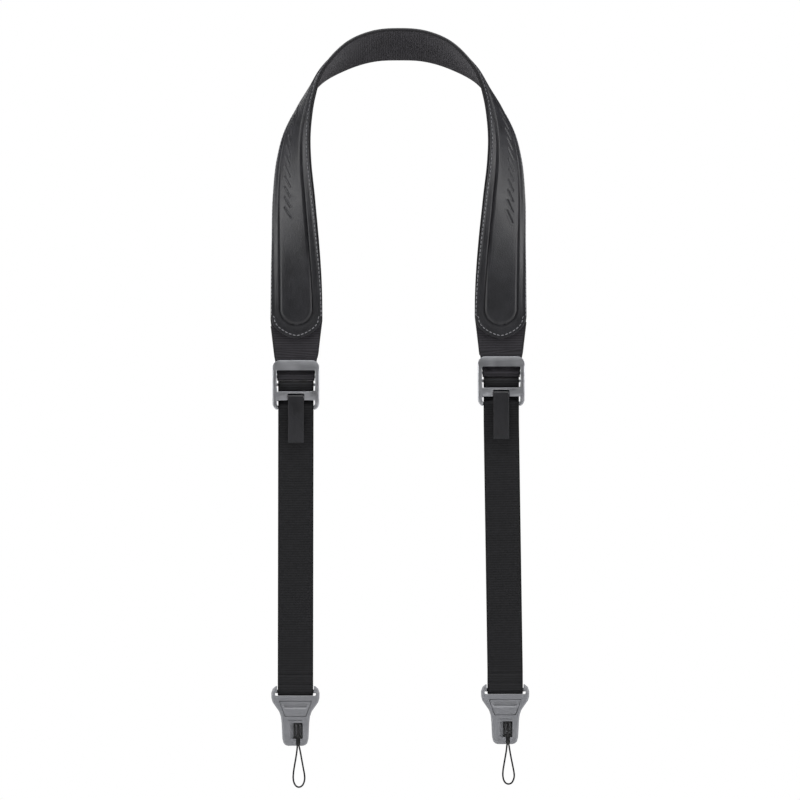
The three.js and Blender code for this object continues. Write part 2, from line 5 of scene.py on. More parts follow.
import bmesh
import bpy
import numpy as np
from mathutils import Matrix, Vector


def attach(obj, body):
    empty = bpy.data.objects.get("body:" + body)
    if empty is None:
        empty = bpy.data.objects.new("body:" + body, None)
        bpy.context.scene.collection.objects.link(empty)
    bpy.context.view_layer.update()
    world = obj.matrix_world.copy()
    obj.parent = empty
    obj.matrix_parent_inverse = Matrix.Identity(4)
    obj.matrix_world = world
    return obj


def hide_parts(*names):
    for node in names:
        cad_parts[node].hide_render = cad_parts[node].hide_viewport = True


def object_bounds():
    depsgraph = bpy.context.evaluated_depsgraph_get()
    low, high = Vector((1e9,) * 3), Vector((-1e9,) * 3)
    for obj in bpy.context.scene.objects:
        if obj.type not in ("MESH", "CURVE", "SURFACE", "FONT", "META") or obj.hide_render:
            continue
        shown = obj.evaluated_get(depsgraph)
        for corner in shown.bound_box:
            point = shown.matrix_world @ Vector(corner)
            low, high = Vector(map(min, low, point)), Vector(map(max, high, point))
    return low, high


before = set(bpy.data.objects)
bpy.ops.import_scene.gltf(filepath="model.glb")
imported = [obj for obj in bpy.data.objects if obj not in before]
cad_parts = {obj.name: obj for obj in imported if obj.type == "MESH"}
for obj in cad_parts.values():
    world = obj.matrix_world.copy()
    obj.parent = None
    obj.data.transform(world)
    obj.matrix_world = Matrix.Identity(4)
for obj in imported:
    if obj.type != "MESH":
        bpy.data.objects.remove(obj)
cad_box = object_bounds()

MM = 0.001
SIDES = (("left", -1), ("right", 1))

# ------------------------------------------------------------------ camera
# A long lens, level with the middle of the hanging strap and square to its front, as a catalogue
# picture is taken: both legs keep their true spacing and hardly any side of a piece shows.
PICTURE_WIDTH = 560 * MM
LENS, SENSOR = 900.0, 36.0
FRONT_PLANE = -46.0 * MM
box_low, box_high = (np.array(corner, dtype=float) for corner in cad_box)
aim = (box_low + box_high) / 2 + np.array([0.1, 0, 5.3]) * MM

camera_data = bpy.data.cameras.new("camera")
camera_data.lens = LENS
camera_data.sensor_width = SENSOR
camera_data.clip_end = 100
camera = bpy.data.objects.new("camera", camera_data)
camera.location = (aim[0], FRONT_PLANE - PICTURE_WIDTH * LENS / SENSOR, aim[2])
camera.rotation_euler = (math.pi / 2, 0, 0)
bpy.context.scene.collection.objects.link(camera)
bpy.context.scene.camera = camera

# ------------------------------------------------------------------ cord loops
# Thin braided nylon cord, black and limp: each loop leaves its anchor's neck at the foot of the end
# fitting, hangs as a narrow drop, and goes back into the same neck. It threads a camera's lug.
CORD_DIAMETER = 1.2 * MM
FITTINGS = {"left": (72.7, 449.1), "right": (74.1, 447.9)}  # across and down, of the ears' tops
CORD_Y = -44.85
CORD_ROUTE = {  # across from the fitting's middle, and down from the ears' tops, in millimetres
    "left": [
        (1.3, 42.2), (0.95, 46), (0.1, 51.5), (-0.85, 57), (-1.45, 61.6), (-1.5, 65.2), (-0.75, 68.2),
        (0.7, 70.2), (2.4, 70.8), (4.3, 70.1), (5.8, 67.9), (6.45, 65), (6.3, 62), (5.4, 57),
        (4.4, 51.5), (3.4, 46), (2.6, 42.2),
    ],
    "right": [
        (1.3, 42.2), (0.9, 46), (0, 51.5), (-0.95, 57), (-1.55, 61.4), (-1.5, 64.8), (-0.7, 67.6),
        (0.7, 69.3), (2.4, 69.8), (4.2, 69.2), (5.6, 67.3), (6.35, 64.4), (6.1, 61.2), (5.2, 56.5),
        (4.2, 51.5), (3.2, 46), (2.6, 42.2),
    ],
}


def linear(hex_colour):
    """An sRGB hex colour as linear red, green, blue and alpha."""
    values = [int(hex_colour[i:i + 2], 16) / 255 for i in (0, 2, 4)]
    return [v / 12.92 if v <= 0.04045 else ((v + 0.055) / 1.055) ** 2.4 for v in values] + [1.0]


def add_node(tree, kind, settings=None, links=None):
    """Adds a node. Settings and links go to its inputs, by name or number, or else to its fields."""
    node = tree.nodes.new(kind)
    for key, value in (settings or {}).items():
        if isinstance(key, int) or key in node.inputs:
            node.inputs[key].default_value = value
        else:
            setattr(node, key, value)
    for key, socket in (links or {}).items():
        tree.links.new(socket, node.inputs[key])
    return node


def new_material(name, **shader):
    """A material with one Principled shader: gives the material, its tree and the shader node."""
    material = bpy.data.materials.new(name)
    material.use_nodes = True
    tree = material.node_tree
    tree.nodes.clear()
    surface = add_node(tree, "ShaderNodeBsdfPrincipled", shader)
    add_node(tree, "ShaderNodeOutputMaterial", links={"Surface": surface.outputs["BSDF"]})
    return material, tree, surface


def grain(tree, size, detail=3.0, roughness=0.5):
    """Noise over the object's own space, size metres from one blotch to the next."""
    place = add_node(tree, "ShaderNodeTexCoord").outputs["Object"]
    return add_node(tree, "ShaderNodeTexNoise", {"Scale": 1 / size, "Detail": detail, "Roughness": roughness},
                    {"Vector": place}).outputs["Fac"]


def ramp(tree, value, low, high, out_low, out_high):
    """Carries a value from one range to another, straight and clamped."""
    settings = {"From Min": low, "From Max": high, "To Min": out_low, "To Max": out_high}
    return add_node(tree, "ShaderNodeMapRange", settings, {"Value": value}).outputs["Result"]


def blend_colours(tree, share, first, second):
    """Mixes two sRGB hex colours by a value from 0 to 1."""
    settings = {"data_type": "RGBA", 6: linear(first), 7: linear(second)}
    return add_node(tree, "ShaderNodeMix", settings, {0: share}).outputs[2]


def raise_surface(tree, surface, height, depth, before=None):
    """Bumps the shader's normal by a height of 0 to 1, depth metres deep."""
    links = {"Height": height}
    if before:
        links["Normal"] = before
    bump = add_node(tree, "ShaderNodeBump", {"Strength": 1.0, "Distance": depth}, links)
    tree.links.new(bump.outputs["Normal"], surface.inputs["Normal"])
    return bump.outputs["Normal"]


def braided_cord():
    # Braided nylon cord, dyed black: dull, with the strands crossing every half millimetre.
    material, tree, surface = new_material("braided_nylon_cord", Roughness=0.85)
    surface.inputs["Specular IOR Level"].default_value = 0.25
    place = add_node(tree, "ShaderNodeTexCoord").outputs["Object"]
    strands = add_node(tree, "ShaderNodeTexWave", {
        "wave_type": "BANDS", "bands_direction": "DIAGONAL", "Scale": 1 / (3 * 0.5 * MM),
        "Distortion": 2.0, "Detail": 1.0}, {"Vector": place}).outputs["Fac"]
    tree.links.new(blend_colours(tree, strands, "060607", "151517"), surface.inputs["Base Color"])
    raise_surface(tree, surface, strands, 0.08 * MM)
    return material


cord_finish = braided_cord()
for name, side in SIDES:
    across, top = FITTINGS[name]
    points = [((side * across + x) * MM, CORD_Y * MM, (-top - down) * MM) for x, down in CORD_ROUTE[name]]
    curve = bpy.data.curves.new("cord_" + name, "CURVE")
    curve.dimensions = "3D"
    curve.bevel_depth = CORD_DIAMETER / 2
    curve.bevel_resolution = 3
    curve.use_fill_caps = True
    line = curve.splines.new("BEZIER")
    line.resolution_u = 8
    line.bezier_points.add(len(points) - 1)
    for knot, point in zip(line.bezier_points, points):
        knot.co = point
        knot.handle_left_type = knot.handle_right_type = "AUTO"
    curve.materials.append(cord_finish)
    cord = bpy.data.objects.new("braided_cord_" + name, curve)
    bpy.context.scene.collection.objects.link(cord)
    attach(cord, "strap")
    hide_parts("cord_loop_" + name)

# ------------------------------------------------------------------ shoulder webbing
# One length of heavy ribbed nylon webbing, about 36 mm wide, charcoal with a faint violet cast. It
# passes over the neck, twists from edge-on to face-on down each arm, narrows below the pad, and
# turns round the buckle's upper pin and back up behind itself. The ribs cross it every 1.7 mm.
GAP = 0.3
BAND_ROWS = [  # across, forward, down in millimetres and roll in degrees, from the nape to one end
    (0, 0, 0, 125), (17.5, 0.9, 1.3, 123), (35, 4.4, 7.6, 115.5), (52.4, 11.6, 21, 98),
    (63.2, 19.3, 38.9, 81), (70.4, 26.7, 59.9, 63.5), (73.2, 31.8, 80.9, 50.5), (73.4, 36, 108.9, 36),
    (72.5, 39.4, 140, 24), (71.9, 41.6, 172, 10), (72, 42, 200, 0), (72, 42, 214, 0),
]
BAND_HALF, BAND_THICK = 18.2, 1.4
BAND_TAPER = ([-28, -14, 0, 7.5], [BAND_HALF, 16.5, 14.9, 13.1])  # down from the buckle, half width
RIB_PITCH, RIB_HEIGHT = 1.7, 0.13
RIB_STEPS = 4  # sections for each rib
BUCKLE_FRONT = -46.5
BUCKLES = {"left": (72.4, 221.1), "right": (71.4, 218.4)}  # across and down, of the frame's top edge
PLATE = 2.8  # depth of the buckle's front plate, which the webbing lies behind
BAND_PIN = (11.6, 4.0, 1.0)  # down from the buckle's top, back from its front, radius
EASE_PASSES = 6  # rounds of averaging that soften the corners of a webbing's line
SNUG = 0.3  # the turned webbings swell a little towards each other round their pins


def smooth_step(value, low, high):
    share = np.clip((value - low) / (high - low), 0, 1)
    return share * share * (3 - 2 * share)


def row_point(row, side):
    """A row's place in millimetres; the right arm hangs 1 mm nearer the middle."""
    inward = smooth_step(row[2], 60, 170) if side > 0 else 0
    return np.array([side * row[0] - inward, -row[1], -row[2]], dtype=float)


band_rows = BAND_ROWS[:0:-1] + BAND_ROWS
knots = [row_point(row, -1 if i < len(BAND_ROWS) else 1) for i, row in enumerate(band_rows)]
rolls = [row[3] for row in band_rows]


def knot(i):
    """A knot of the band's line, carried straight on past either end."""
    if i < 0:
        return 2 * knots[0] - knots[1]
    if i >= len(knots):
        return 2 * knots[-1] - knots[-2]
    return knots[i]


def band_point(t):
    """The centripetal spline through the knots, at t from 0 to 1."""
    place = t * (len(knots) - 1)
    i = min(int(place), len(knots) - 2)
    s = place - i
    p0, p1, p2, p3 = (knot(i + k) for k in (-1, 0, 1, 2))
    d0, d1, d2 = (math.sqrt(math.dist(a, b)) for a, b in ((p0, p1), (p1, p2), (p2, p3)))
    leave = ((p1 - p0) / d0 - (p2 - p0) / (d0 + d1) + (p2 - p1) / d1) * d1
    reach = ((p2 - p1) / d1 - (p3 - p1) / (d1 + d2) + (p3 - p2) / d2) * d1
    return (p1 + leave * s + (3 * (p2 - p1) - 2 * leave - reach) * s ** 2
            + (2 * (p1 - p2) + leave + reach) * s ** 3)


def band_roll(t):
    place = t * (len(rolls) - 1)
    i = min(int(place), len(rolls) - 2)
    s = place - i
    p0, p1, p2, p3 = (rolls[min(max(i + k, 0), len(rolls) - 1)] for k in (-1, 0, 1, 2))
    return 0.5 * (2 * p1 + (p2 - p0) * s + (2 * p0 - 5 * p1 + 4 * p2 - p3) * s ** 2
                  + (3 * p1 - p0 - 3 * p2 + p3) * s ** 3)


STEPS = 4000
fine_t = np.linspace(0, 1, STEPS + 1)
fine_points = np.array([band_point(t) for t in fine_t])
fine_lengths = np.concatenate([[0], np.cumsum(np.linalg.norm(np.diff(fine_points, axis=0), axis=1))])
BAND_LENGTH = fine_lengths[-1]


def unit(vectors):
    return vectors / np.linalg.norm(vectors, axis=-1, keepdims=True)


def band_frames(lengths):
    """Places, across and out directions of the band's underside, at lengths along it."""
    ts = np.interp(lengths, fine_lengths, fine_t)
    mid = np.array([band_point(t) for t in ts])
    ahead = np.array([band_point(min(t + 1e-4, 1)) for t in ts])
    behind = np.array([band_point(max(t - 1e-4, 0)) for t in ts])
    along = unit(ahead - behind)
    roll = np.radians([band_roll(t) for t in ts])[:, None]
    outward = unit(np.stack([-along[:, 2], np.zeros(len(ts)), along[:, 0]], axis=1))
    backward = np.cross(outward, along)
    across = outward * np.cos(roll) + backward * np.sin(roll)
    return mid, across, np.cross(along, across)


def round_pin(pin, radius, start, end, steps=20):
    """Side-view places (down, deep) round a pin: 0 degrees is behind it, 90 above, 180 in front."""
    angles = np.radians(np.linspace(start, end, steps + 1))
    return [(pin[0] - radius * math.sin(a), pin[1] + radius * math.cos(a)) for a in angles]


def arm_end(name, side):
    """The webbing's centre line below the band's last row, and its half widths."""
    across, top = BUCKLES[name]
    plane = PLATE + GAP + BAND_THICK / 2
    turned = plane + BAND_THICK + GAP
    view = [(-2.5, plane), (7.5, plane)]
    view += round_pin(BAND_PIN, BAND_PIN[2] + GAP + BAND_THICK / 2 + SNUG, 161, 360)
    view += [(4, turned + 0.2), (-3, turned), (-24, turned)]
    places = np.array([(side * across, BUCKLE_FRONT + deep, -top - down) for down, deep in view])
    return places, np.interp([down for down, _ in view], *BAND_TAPER)


def even_line(places, values, step):
    """A line's places and values again, at even steps and with its corners eased."""
    run = np.concatenate([[0], np.cumsum(np.linalg.norm(np.diff(places, axis=0), axis=1))])
    even = np.linspace(0, run[-1], int(run[-1] / step) + 1)
    line = np.stack([np.interp(even, run, places[:, k]) for k in range(3)], axis=1)
    for _ in range(EASE_PASSES):
        line[1:-1] = (line[:-2] + 2 * line[1:-1] + line[2:]) / 4
    return line, [np.interp(even, run, value) for value in np.transpose(values)], even


def skin(name, rings, along, around, closed=False):
    """A closed skin through equal rings of points in millimetres, with a UV map in metres."""
    rings = np.asarray(rings)
    count, sides = rings.shape[:2]
    spans = count if closed else count - 1
    i, j = np.meshgrid(np.arange(spans), np.arange(sides), indexing="ij")
    after, next_side = (i + 1) % count, (j + 1) % sides
    here, beyond = i * sides, after * sides
    quads = np.stack([here + j, here + next_side, beyond + next_side, beyond + j], axis=-1)
    faces = quads.reshape(-1, 4).tolist()
    us = np.stack([along[i], along[i], along[i + 1], along[i + 1]], axis=-1)
    vs = np.stack([around[j], around[j + 1], around[j + 1], around[j]], axis=-1)
    uvs = np.stack([us, vs], axis=-1).reshape(-1, 2)
    if not closed:
        faces += [list(range(sides))[::-1], list(range((count - 1) * sides, count * sides))]
        uvs = np.concatenate([uvs, np.zeros((2 * sides, 2))])
    mesh = bpy.data.meshes.new(name)
    mesh.from_pydata((rings.reshape(-1, 3) * MM).tolist(), [], faces)
    mesh.uv_layers.new(name="cloth").data.foreach_set("uv", (uvs * MM).ravel())
    return finish_mesh(name, mesh)


def finish_mesh(name, mesh, sharp=50):
    """Turns every face outwards, shades it smooth up to an angle, and links its object."""
    whole = bmesh.new()
    whole.from_mesh(mesh)
    bmesh.ops.recalc_face_normals(whole, faces=whole.faces)
    whole.to_mesh(mesh)
    whole.free()
    mesh.polygons.foreach_set("use_smooth", [True] * len(mesh.polygons))
    mesh.set_sharp_from_angle(angle=math.radians(sharp))
    piece = bpy.data.objects.new(name, mesh)
    bpy.context.scene.collection.objects.link(piece)
    return piece


def carry(piece, body, slot, finish, *nodes):
    """Finishes a piece, lets it ride on a body and stand for CAD nodes."""
    piece.data.materials.clear()
    piece.data.materials.append(finish)
    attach(piece, body)
    if nodes:
        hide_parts(*nodes)


# A webbing's section: shares of its half width, and of its half thickness.
SECTION_TOP = [(-1, 0.4), (-0.99, 0.8), (-0.965, 1)] + [(a, 1) for a in np.linspace(-0.9, 0.9, 9)] + [
    (0.965, 1), (0.99, 0.8), (1, 0.4)]
SECTION = SECTION_TOP + [(a, -up) for a, up in reversed(SECTION_TOP)]


def ribbed_webbing(name, line, across, half, thick, closed=False, press=None):
    """Webbing along a line, ribbed on both faces; press is how far its outer face is drawn in."""
    if closed:
        along = unit(np.roll(line, -1, axis=0) - np.roll(line, 1, axis=0))
    else:
        along = unit(np.gradient(line, axis=0))
    across = unit(across - along * np.sum(across * along, axis=1, keepdims=True))
    out = np.cross(along, across)
    run = np.concatenate([[0], np.cumsum(np.linalg.norm(np.diff(line, axis=0), axis=1))])
    ribs = RIB_HEIGHT * (np.abs(np.sin(math.pi * run / RIB_PITCH)) - 0.6)
    rings = []
    for a, up in SECTION:
        rise = ribs * min(1, 6 * (1 - abs(a))) if abs(a) > 0.9 else ribs
        height = up * thick / 2 + np.sign(up) * rise
        if press is not None and up > 0:
            height = height - press
        rings.append(line + across * (a * half)[:, None] + out * height[:, None])
    rings = np.stack(rings, axis=1)
    widths = np.array([a for a, _ in SECTION] + [SECTION[0][0]]) * np.max(half)
    ends = np.append(run, run[-1] + (run[1] - run[0]))
    return skin(name, rings, ends, widths, closed), run[-1]


def woven_nylon(name, dark, light, edge_colour, half):
    # Woven nylon webbing: the ribs are in the mesh; between them run warp threads 0.8 mm apart, each
    # one rib out of step with the next. Dull, with a denser selvedge; the colour is darkest in the
    # grooves between ribs and threads, which is painted shade laid over the weave pattern.
    material, tree, surface = new_material(name, Roughness=0.78)
    surface.inputs["Specular IOR Level"].default_value = 0.2
    surface.inputs["Sheen Weight"].default_value = 0.06
    surface.inputs["Sheen Roughness"].default_value = 0.5
    cloth = add_node(tree, "ShaderNodeUVMap", {"uv_map": "cloth"}).outputs["UV"]
    split = add_node(tree, "ShaderNodeSeparateXYZ", links={0: cloth}).outputs
    lengthwise, widthwise = split["X"], split["Y"]

    def wave(value, pitch):
        turns = add_node(tree, "ShaderNodeMath", {"operation": "MULTIPLY", 1: math.pi / pitch}, {0: value})
        sine = add_node(tree, "ShaderNodeMath", {"operation": "SINE"}, {0: turns.outputs[0]})
        return add_node(tree, "ShaderNodeMath", {"operation": "ABSOLUTE"}, {0: sine.outputs[0]}).outputs[0]

    rib = wave(lengthwise, RIB_PITCH * MM)
    warp = wave(widthwise, 0.8 * MM)
    fibres = grain(tree, 0.25 * MM, 2)
    blotch = grain(tree, 9 * MM, 2)
    # Rib times warp makes the colour dark in the grooves between ribs and threads: painted shade over the
    # weave pattern.
    weave_groove_shade = add_node(tree, "ShaderNodeMath", {"operation": "MULTIPLY"}, {0: rib, 1: warp}).outputs[0]
    mixed = add_node(tree, "ShaderNodeMath", {"operation": "MULTIPLY_ADD", 1: 0.5}, {0: fibres, 2: weave_groove_shade})
    share = ramp(tree, mixed.outputs[0], 0.15, 1.25, 0, 1)
    tone = add_node(tree, "ShaderNodeMath", {"operation": "MULTIPLY_ADD", 1: 0.3}, {0: blotch, 2: share})
    toned = ramp(tree, tone.outputs[0], 0.1, 1.2, 0, 1)
    cloth_colour = blend_colours(tree, toned, dark, light)
    side = add_node(tree, "ShaderNodeMath", {"operation": "ABSOLUTE"}, {0: widthwise}).outputs[0]
    selvedge = ramp(tree, side, (half - 1.1) * MM, (half - 0.7) * MM, 0, 1)
    mixer = add_node(tree, "ShaderNodeMix", {"data_type": "RGBA", 7: linear(edge_colour)},
                     {0: selvedge, 6: cloth_colour})
    tree.links.new(mixer.outputs[2], surface.inputs["Base Color"])
    lifted = raise_surface(tree, surface, warp, 0.12 * MM)
    raise_surface(tree, surface, fibres, 0.06 * MM, lifted)
    return material


ends = {name: arm_end(name, side) for name, side in SIDES}
middle_lengths = np.linspace(0, BAND_LENGTH, 500)
middle, middle_across, middle_out = band_frames(middle_lengths)
middle = middle + middle_out * BAND_THICK / 2
below = np.where(middle[:, 0] < 0, -middle[:, 2] - BUCKLES["left"][1], -middle[:, 2] - BUCKLES["right"][1])
middle_half = np.interp(below, *BAND_TAPER)


def level(count, side):
    return np.tile([float(side), 0, 0], (count, 1))


left_places, left_half = ends["left"]
right_places, right_half = ends["right"]
line = np.concatenate([left_places[::-1], middle, right_places])
facing = np.concatenate([level(len(left_places), -1), middle_across, level(len(right_places), 1)])
half = np.concatenate([left_half[::-1], middle_half, right_half])
even, (half, *facing), run = even_line(line, np.column_stack([half, facing]), RIB_PITCH / RIB_STEPS)
band, band_run = ribbed_webbing("shoulder_webbing_cloth", even, np.stack(facing, axis=1), half, BAND_THICK)
carry(band, "strap", "webbing", woven_nylon("ribbed_nylon_charcoal", "151417", "38363b", "1b1a1d", BAND_HALF),
      "shoulder_webbing")

# ------------------------------------------------------------------ leather pad
# A strip of smooth charcoal leather over a thin filling, glued and stitched to the webbing all round
# its edge. A line is pressed round the padded middle, with short slanting strokes pressed down each
# arm, and the leather is a little shiny where the padding swells.
PAD_HALF, PAD_FROM_END, PAD_END = 17.5, 8.1, 14.0
PAD_RIM, PAD_MIDDLE = 1.1, 2.7  # thickness at the rim and over the padding
LINE_HALF, LINE_FROM_TIP = 11.3, 9.8  # the pressed line round the padding
LINE_DEPTH, LINE_WIDTH = 0.85, 0.6
STITCH_INSET, STITCH_PITCH, STITCH_LENGTH = 2.1, 2.9, 2.1
STROKES = {"left": -121.5, "right": -124}  # how low the pressed strokes reach
STROKE_PITCH, STROKE_COUNT, STROKE_DEPTH, STROKE_WIDTH = 7.3, 11, 0.6, 0.55
STROKE_ALONG, STROKE_OVER, STROKE_MIDDLE = 7.7, 4.9, 2.8  # each stroke's run, and how far off the middle
pad_start, pad_end = PAD_FROM_END, BAND_LENGTH - PAD_FROM_END
PAD_BASE = BAND_THICK + GAP


def pad_half(from_tip):
    share = np.clip(from_tip / PAD_END, 0, 1)
    return np.maximum(PAD_HALF * (1 - (1 - share) ** 2) ** 0.7, 1.2)


def from_edge(w, from_tip):
    """How far inside the pad's outline a place is; near a tip the outline closes in."""
    beside = pad_half(from_tip) - np.abs(w)
    slope = (pad_half(from_tip + 0.3) - pad_half(np.maximum(from_tip - 0.3, 0))) / 0.6
    return beside / np.sqrt(1 + slope ** 2)


strokes = []
for name, side in SIDES:
    arm = fine_points[:, 0] * side > 20
    low = fine_lengths[arm][np.argmin(np.abs(fine_points[arm, 2] - STROKES[name]))]
    strokes += [low - side * (k + 0.5) * STROKE_PITCH for k in range(STROKE_COUNT)]


def pad_thickness(w, length):
    from_tip = np.minimum(length - pad_start, pad_end - length)
    beyond = np.maximum(LINE_FROM_TIP + LINE_HALF - from_tip, 0)
    inside = LINE_HALF - np.hypot(w, beyond)
    edge = from_edge(w, from_tip)
    thick = PAD_RIM + (PAD_MIDDLE - PAD_RIM) * smooth_step(inside, -4.5, 4)
    thick = thick - LINE_DEPTH * np.exp(-(inside / LINE_WIDTH) ** 2)
    thick = thick + 0.2 * np.exp(-((inside - 1.6) / 0.9) ** 2)
    thick = thick - 0.25 * np.exp(-((edge - STITCH_INSET) / 0.5) ** 2)
    thick = thick - 0.16 * np.exp(-((edge - 0.95) / 0.25) ** 2)
    ripple = np.sin(length / 5.3 + 1.3 * np.sin(length / 17.0)) * np.cos(w / 3.1 + np.sin(length / 23.0))
    thick = thick + 0.05 * ripple * smooth_step(inside, 0, 3)
    for middle_length in strokes:
        t, u = length - middle_length, w - STROKE_MIDDLE
        reach = STROKE_ALONG ** 2 + STROKE_OVER ** 2
        share = np.clip((t * STROKE_ALONG + u * STROKE_OVER) / reach, -0.5, 0.5)
        off = np.hypot(t - share * STROKE_ALONG, u - share * STROKE_OVER)
        thick = thick - STROKE_DEPTH * np.exp(-(off / STROKE_WIDTH) ** 2)
        thick = thick + 0.12 * np.exp(-((off - 1.2) / 0.5) ** 2)
    return thick


def section_lengths():
    """Lengths of the pad's sections: close together at the two tips."""
    tip = 16 * np.linspace(0.03, 1, 30) ** 2
    body = np.linspace(pad_start + 16, pad_end - 16, 960)
    return np.concatenate([pad_start + tip, body[1:-1], (pad_end - tip)[::-1]])


pad_lengths = section_lengths()
mid, across, out = band_frames(pad_lengths)
halves = pad_half(np.minimum(pad_lengths - pad_start, pad_end - pad_lengths))
inset = np.minimum(0.5, 0.2 * halves)
columns = []
for a in np.linspace(-1, 1, 9):
    columns.append((a * halves, np.full(len(halves), PAD_BASE)))
columns.append((halves, np.full(len(halves), PAD_BASE + 0.5)))
for a in np.linspace(1, -1, 61):
    w = a * (halves - inset)
    columns.append((w, PAD_BASE + pad_thickness(w, pad_lengths)))
    if a == 1:
        columns[-1:-1] = [(halves - 0.15 * inset, PAD_BASE + 0.75 * PAD_RIM + 0 * halves),
                          (halves - 0.5 * inset, PAD_BASE + 0.93 * PAD_RIM + 0 * halves)]
columns += [(-halves + 0.5 * inset, PAD_BASE + 0.93 * PAD_RIM + 0 * halves),
            (-halves + 0.15 * inset, PAD_BASE + 0.75 * PAD_RIM + 0 * halves),
            (-halves, np.full(len(halves), PAD_BASE + 0.5))]
rings = np.stack([mid + across * w[:, None] + out * h[:, None] for w, h in columns], axis=1)
pad_widths = np.array([w[len(w) // 2] for w, _ in columns] + [columns[0][0][len(halves) // 2]])
pad = skin("leather_pad_cover", rings, np.append(pad_lengths, pad_lengths[-1]), pad_widths)


def smooth_leather():
    # Vegetable-dyed calf leather, charcoal, pressed smooth: pores about 0.5 mm apart under a soft
    # shine, a little paler and glossier where it is rubbed, duller in the creases.
    material, tree, surface = new_material("pressed_calf_leather", Roughness=0.5)
    surface.inputs["Specular IOR Level"].default_value = 0.42
    place = add_node(tree, "ShaderNodeTexCoord").outputs["Object"]
    pores = add_node(tree, "ShaderNodeTexVoronoi", {"Scale": 1 / (0.9 * MM), "feature": "F1"},
                     {"Vector": place}).outputs["Distance"]
    fine = grain(tree, 0.45 * MM, 4)
    cloud = grain(tree, 14 * MM, 4, 0.6)
    tree.links.new(blend_colours(tree, ramp(tree, cloud, 0.3, 0.7, 0, 1), "17171a", "222226"),
                   surface.inputs["Base Color"])
    rub = add_node(tree, "ShaderNodeMath", {"operation": "MULTIPLY_ADD", 1: 0.4}, {0: fine, 2: cloud})
    tree.links.new(ramp(tree, rub.outputs[0], 0.4, 1.0, 0.4, 0.58), surface.inputs["Roughness"])
    lifted = raise_surface(tree, surface, ramp(tree, pores, 0.1, 0.6, 0, 1), 0.05 * MM)
    raise_surface(tree, surface, fine, 0.07 * MM, lifted)
    return material


leather_finish = smooth_leather()
carry(pad, "strap", "leather", leather_finish, "shoulder_pad")

# ------------------------------------------------------------------ pad stitching
# One row of lockstitch in grey waxed thread, a little inside the pad's edge all the way round, each
# stitch lying in the groove that its tension pulls into the leather.
THREAD_WIDTH = 0.6


def stitch_path():
    """The row of stitches as places (length, w) round the pad, starting at its left tip."""
    from_tip = np.concatenate([PAD_END * np.linspace(0, 1, 200) ** 2, [(pad_end - pad_start) / 2]])
    widths = np.append(pad_half(from_tip[:-1]), PAD_HALF)
    edge = np.stack([from_tip, widths], axis=1)
    outline = np.concatenate([(edge * [1, -1])[::-1], edge])
    reach = np.linspace(STITCH_INSET + 0.02, PAD_END + 6, 160)
    row = []
    for t in reach:
        tries = np.linspace(0, PAD_HALF, 700)
        away = np.hypot(outline[:, 0][None] - t, outline[:, 1][None] - tries[:, None]).min(axis=1)
        clear = tries[(away >= STITCH_INSET) & (tries < pad_half(t))]
        row.append((t, clear.max() if len(clear) else 0))
    row = np.array([(reach[0], 0)] + row + [((pad_end - pad_start) / 2, PAD_HALF - STITCH_INSET)])
    upper = row * [1, 1] + [pad_start, 0]
    far = row * [-1, 1] + [pad_end, 0]
    return np.concatenate([upper, far[::-1], far * [1, -1], upper[::-1] * [1, -1]])


def thread_row(name, path, surface_at, pitch, length, thread, finish):
    """Short rounded stitches along a closed path of places on a curved face, as one mesh."""
    run = np.concatenate([[0], np.cumsum(np.linalg.norm(np.diff(path, axis=0), axis=1))])
    count = int(run[-1] / pitch)
    shares = np.array([0.0, 0.12, 0.35, 0.65, 0.88, 1.0])
    dips = np.array([-0.3, 0.06, 0.16, 0.16, 0.06, -0.3])
    sizes = np.array([0.5, 0.85, 1, 1, 0.85, 0.5]) * thread / 2
    sides = 8
    starts = (np.arange(count) + 0.2) * run[-1] / count
    at = starts[:, None] + shares[None, :] * length
    places = np.stack([np.interp(at.ravel(), run, path[:, k]) for k in range(2)], axis=1)
    points, normals = surface_at(places)
    points = points.reshape(count, len(shares), 3)
    normals = normals.reshape(count, len(shares), 3)
    along = unit(points[:, -1] - points[:, 0])[:, None, :]
    beside = unit(np.cross(normals, along))
    centre = points + normals * dips[None, :, None]
    angles = np.arange(sides) * 2 * math.pi / sides
    ring = (beside[:, :, None, :] * np.cos(angles)[None, None, :, None]
            + 0.7 * normals[:, :, None, :] * np.sin(angles)[None, None, :, None])
    vertices = centre[:, :, None, :] + ring * sizes[None, :, None, None]
    faces = []
    per = len(shares) * sides
    for s in range(count):
        base = s * per
        for i in range(len(shares) - 1):
            for j in range(sides):
                a, b = base + i * sides + j, base + i * sides + (j + 1) % sides
                faces.append((a, b, b + sides, a + sides))
        faces.append(tuple(range(base, base + sides))[::-1])
        faces.append(tuple(range(base + per - sides, base + per)))
    mesh = bpy.data.meshes.new(name)
    mesh.from_pydata((vertices.reshape(-1, 3) * MM).tolist(), [], faces)
    row = finish_mesh(name, mesh)
    carry(row, "strap", "leather", finish)
    return row


def waxed_thread():
    # Bonded polyester thread, mid grey and waxed: a soft glint along each stitch, twist 0.35 mm apart.
    material, tree, surface = new_material("waxed_grey_thread", Roughness=0.5)
    fibres = grain(tree, 0.35 * MM, 2)
    tree.links.new(blend_colours(tree, fibres, "444447", "929297"), surface.inputs["Base Color"])
    raise_surface(tree, surface, fibres, 0.08 * MM)
    return material


def on_pad(places):
    mid, across, out = band_frames(places[:, 0])
    height = PAD_BASE + pad_thickness(places[:, 1], places[:, 0])
    return mid + across * places[:, 1:] + out * height[:, None], out


grey_thread = waxed_thread()
thread_row("pad_stitching", stitch_path(), on_pad, STITCH_PITCH, STITCH_LENGTH, THREAD_WIDTH, grey_thread)

# ------------------------------------------------------------------ ladder buckles
# A flat frame milled from aluminium, bead-blasted and anodised grey: a leaning top rail, two windows
# either side of a notched crossbar, deep cheeks, and straight pins for the webbing to turn on.


